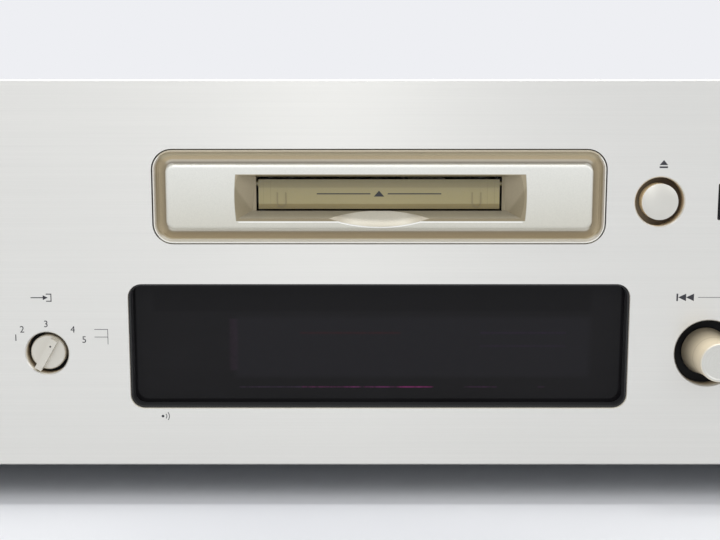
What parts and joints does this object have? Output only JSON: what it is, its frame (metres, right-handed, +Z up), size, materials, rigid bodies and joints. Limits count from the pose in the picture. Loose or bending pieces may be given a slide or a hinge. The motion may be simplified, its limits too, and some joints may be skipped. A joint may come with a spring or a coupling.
{
  "type": "minidisc deck",
  "caption": "Full-width disc deck with a motor-loaded cartridge slot behind a sprung flap, a smoked display window, knobs and keys.",
  "frame": {"origin": "on the floor under the middle of the deck's overall box", "axes": "+X to the right seen from the front, +Y to the rear, +Z up"},
  "size_m": [0.434, 0.346, 0.1325],
  "materials": {
    "panel_aluminium": "horizontally brushed, clear silver anodised",
    "black_frame": "moulded black",
    "champagne_moulding": "champagne metallic paint",
    "flap_plastic": "tinted moulding",
    "spring_steel": "bright",
    "bezel_plastic": "fine texture",
    "smoked_acrylic": "polished smoked acrylic",
    "tube_glass": "display glass",
    "board_green": "solder resist",
    "board_buff": "paper laminate",
    "black_parts": "epoxy moulding",
    "button_champagne": "champagne satin",
    "control_metal": "plated steel",
    "jack_black": "moulded nylon",
    "zinc_steel": "zinc plated sheet",
    "cover_paint": "champagne powder coat",
    "screw_brass": "yellow passivated",
    "foot_plastic": "moulded black",
    "rubber": "soft rubber",
    "gold_plate": "gold plated",
    "core_steel": "varnished lamination",
    "winding_tape": "yellow polyester tape",
    "can_sleeve": "shrink sleeve",
    "heat_sink_aluminium": "extruded",
    "cable_film": "flat flexible cable",
    "mech_steel": "bright zinc",
    "gear_plastic": "natural acetal",
    "motor_steel": "drawn can",
    "rod_steel": "ground rod",
    "sled_plastic": "glass filled",
    "arm_metal": "plated spring steel"
  },
  "bodies": {
    "deck": {"front_panel": "panel_aluminium", "front_frame": "black_frame", "loader_surround": "champagne_moulding", "flap_spring": "spring_steel", "window_bezel": "bezel_plastic", "display_window": "smoked_acrylic", "display_tube": "tube_glass", "display_board": "board_green", "remote_sensor": "black_parts", "key_frame": "black_frame", "key_board": "board_green", "rotary_controls": "control_metal", "phones_jack": "jack_black", "power_switch": "black_parts", "bottom_pan": "zinc_steel", "rear_panel": "cover_paint", "top_cover": "cover_paint", "screws": "screw_brass", "feet": "foot_plastic", "foot_pads": "rubber", "phono_jacks": "gold_plate", "optical_sockets": "jack_black", "mains_inlet": "jack_black", "transformer_core": "core_steel", "transformer_winding": "winding_tape", "power_board": "board_buff", "power_capacitors": "can_sleeve", "heat_sink": "heat_sink_aluminium", "main_board": "board_green", "board_parts": "black_parts", "flat_cables": "cable_film", "mech_brackets": "zinc_steel", "mech_dampers": "rubber", "mech_base": "mech_steel", "loading_motor": "motor_steel", "spindle_motor": "motor_steel", "guide_rods": "rod_steel", "sled_motor": "motor_steel"},
    "flap": {"loader_flap": "flap_plastic"},
    "eject": {"eject_button": "button_champagne"},
    "play": {"key_play": "button_champagne"},
    "pause": {"key_pause": "button_champagne"},
    "stop": {"key_stop": "button_champagne"},
    "record": {"key_record": "button_champagne"},
    "power": {"power_button": "button_champagne"},
    "input_dial": {"input_dial": "button_champagne"},
    "jog_shaft": {"jog_shaft": "rod_steel"},
    "jog_knob": {"jog_knob": "button_champagne"},
    "level_outer": {"level_knob_outer": "button_champagne"},
    "level_inner": {"level_knob_inner": "button_champagne"},
    "phones_level": {"phones_knob": "button_champagne"},
    "holder": {"cartridge_holder": "mech_steel"},
    "pull_carriage": {"pull_carriage": "gear_plastic"},
    "cam_slide": {"cam_plates": "mech_steel"},
    "pinion": {"motor_pinion": "screw_brass"},
    "loading_gear": {"loading_gear": "gear_plastic"},
    "turntable": {"turntable": "black_parts"},
    "sled": {"pickup_sled": "sled_plastic"},
    "lead_screw": {"lead_screw": "rod_steel"},
    "head_arm": {"head_arm": "arm_metal"}
  },
  "joints": [
    {"name": "flap_hinge", "type": "hinge", "parent": "deck", "child": "flap", "pos_m": [0, -0.1551, 0.1012], "axis": [1, 0, 0], "range_deg": [0, 88], "stiffness_Nm_per_rad": 0.0015, "springref_deg": -34.38},
    {"name": "eject_press", "type": "slide", "parent": "deck", "child": "eject", "axis": [0, 1, 0], "range_m": [0, 0.0005], "stiffness_N_per_m": 500, "springref_m": -0.0008},
    {"name": "play_press", "type": "slide", "parent": "deck", "child": "play", "axis": [0, 1, 0], "range_m": [0, 0.0005], "stiffness_N_per_m": 500, "springref_m": -0.0008},
    {"name": "pause_press", "type": "slide", "parent": "deck", "child": "pause", "axis": [0, 1, 0], "range_m": [0, 0.0005], "stiffness_N_per_m": 500, "springref_m": -0.0008},
    {"name": "stop_press", "type": "slide", "parent": "deck", "child": "stop", "axis": [0, 1, 0], "range_m": [0, 0.0005], "stiffness_N_per_m": 500, "springref_m": -0.0008},
    {"name": "record_press", "type": "slide", "parent": "deck", "child": "record", "axis": [0, 1, 0], "range_m": [0, 0.0005], "stiffness_N_per_m": 500, "springref_m": -0.0008},
    {"name": "power_press", "type": "slide", "parent": "deck", "child": "power", "axis": [0, 1, 0], "range_m": [0, 0.003], "stiffness_N_per_m": 400, "springref_m": -0.0008},
    {"name": "input_turn", "type": "hinge", "parent": "deck", "child": "input_dial", "pos_m": [-0.1022, -0.16, 0.0492], "axis": [0, 1, 0], "range_deg": [-90, 30]},
    {"name": "jog_push", "type": "slide", "parent": "deck", "child": "jog_shaft", "axis": [0, 1, 0], "range_m": [0, 0.0008], "stiffness_N_per_m": 600, "springref_m": -0.0008},
    {"name": "jog_turn", "type": "hinge", "parent": "jog_shaft", "child": "jog_knob", "pos_m": [0.1014, -0.16, 0.0492], "axis": [0, 1, 0], "continuous": true},
    {"name": "level_outer_turn", "type": "hinge", "parent": "deck", "child": "level_outer", "pos_m": [0.167, -0.16, 0.0492], "axis": [0, 1, 0], "range_deg": [-150, 150]},
    {"name": "level_inner_turn", "type": "hinge", "parent": "deck", "child": "level_inner", "pos_m": [0.167, -0.16, 0.0492], "axis": [0, 1, 0], "range_deg": [-150, 150]},
    {"name": "phones_turn", "type": "hinge", "parent": "deck", "child": "phones_level", "pos_m": [-0.155, -0.16, 0.0492], "axis": [0, 1, 0], "range_deg": [-150, 150]},
    {"name": "cam_slide", "type": "slide", "parent": "deck", "child": "cam_slide", "axis": [0, 1, 0], "range_m": [0, 0.011]},
    {"name": "holder_lower", "type": "slide", "parent": "deck", "child": "holder", "axis": [0, 0, -1], "range_m": [0, 0.0055]},
    {"name": "pull_in", "type": "slide", "parent": "holder", "child": "pull_carriage", "axis": [0, 1, 0], "range_m": [0, 0.032]},
    {"name": "loading_gear_turn", "type": "hinge", "parent": "deck", "child": "loading_gear", "pos_m": [0.05835, -0.1025, 0], "axis": [0, 0, 1], "range_deg": [-79.28, 0]},
    {"name": "motor_pinion_turn", "type": "hinge", "parent": "deck", "child": "pinion", "pos_m": [0.05835, -0.0874, 0], "axis": [0, 0, 1], "range_deg": [0, 316.13]},
    {"name": "turntable_spin", "type": "hinge", "parent": "deck", "child": "turntable", "pos_m": [0, -0.1085, 0], "axis": [0, 0, 1], "continuous": true},
    {"name": "sled_slide", "type": "slide", "parent": "deck", "child": "sled", "axis": [-1, 0, 0], "range_m": [0, 0.0165]},
    {"name": "lead_screw_turn", "type": "hinge", "parent": "deck", "child": "lead_screw", "pos_m": [0, -0.0855, 0.0767], "axis": [1, 0, 0], "range_deg": [0, 1981]},
    {"name": "head_lift", "type": "hinge", "parent": "sled", "child": "head_arm", "pos_m": [-0.0545, -0.1085, 0.1062], "axis": [0, 1, 0], "range_deg": [0, 14.53]}
  ],
  "couplings": [
    {"joint": "holder_lower", "follows": "cam_slide", "ratio": 0.5},
    {"joint": "loading_gear_turn", "follows": "cam_slide", "rad_per_m": -125},
    {"joint": "motor_pinion_turn", "follows": "cam_slide", "rad_per_m": 500},
    {"joint": "head_lift", "follows": "cam_slide", "rad_per_m": 22.971},
    {"joint": "lead_screw_turn", "follows": "sled_slide", "rad_per_m": 2094.4}
  ]
}
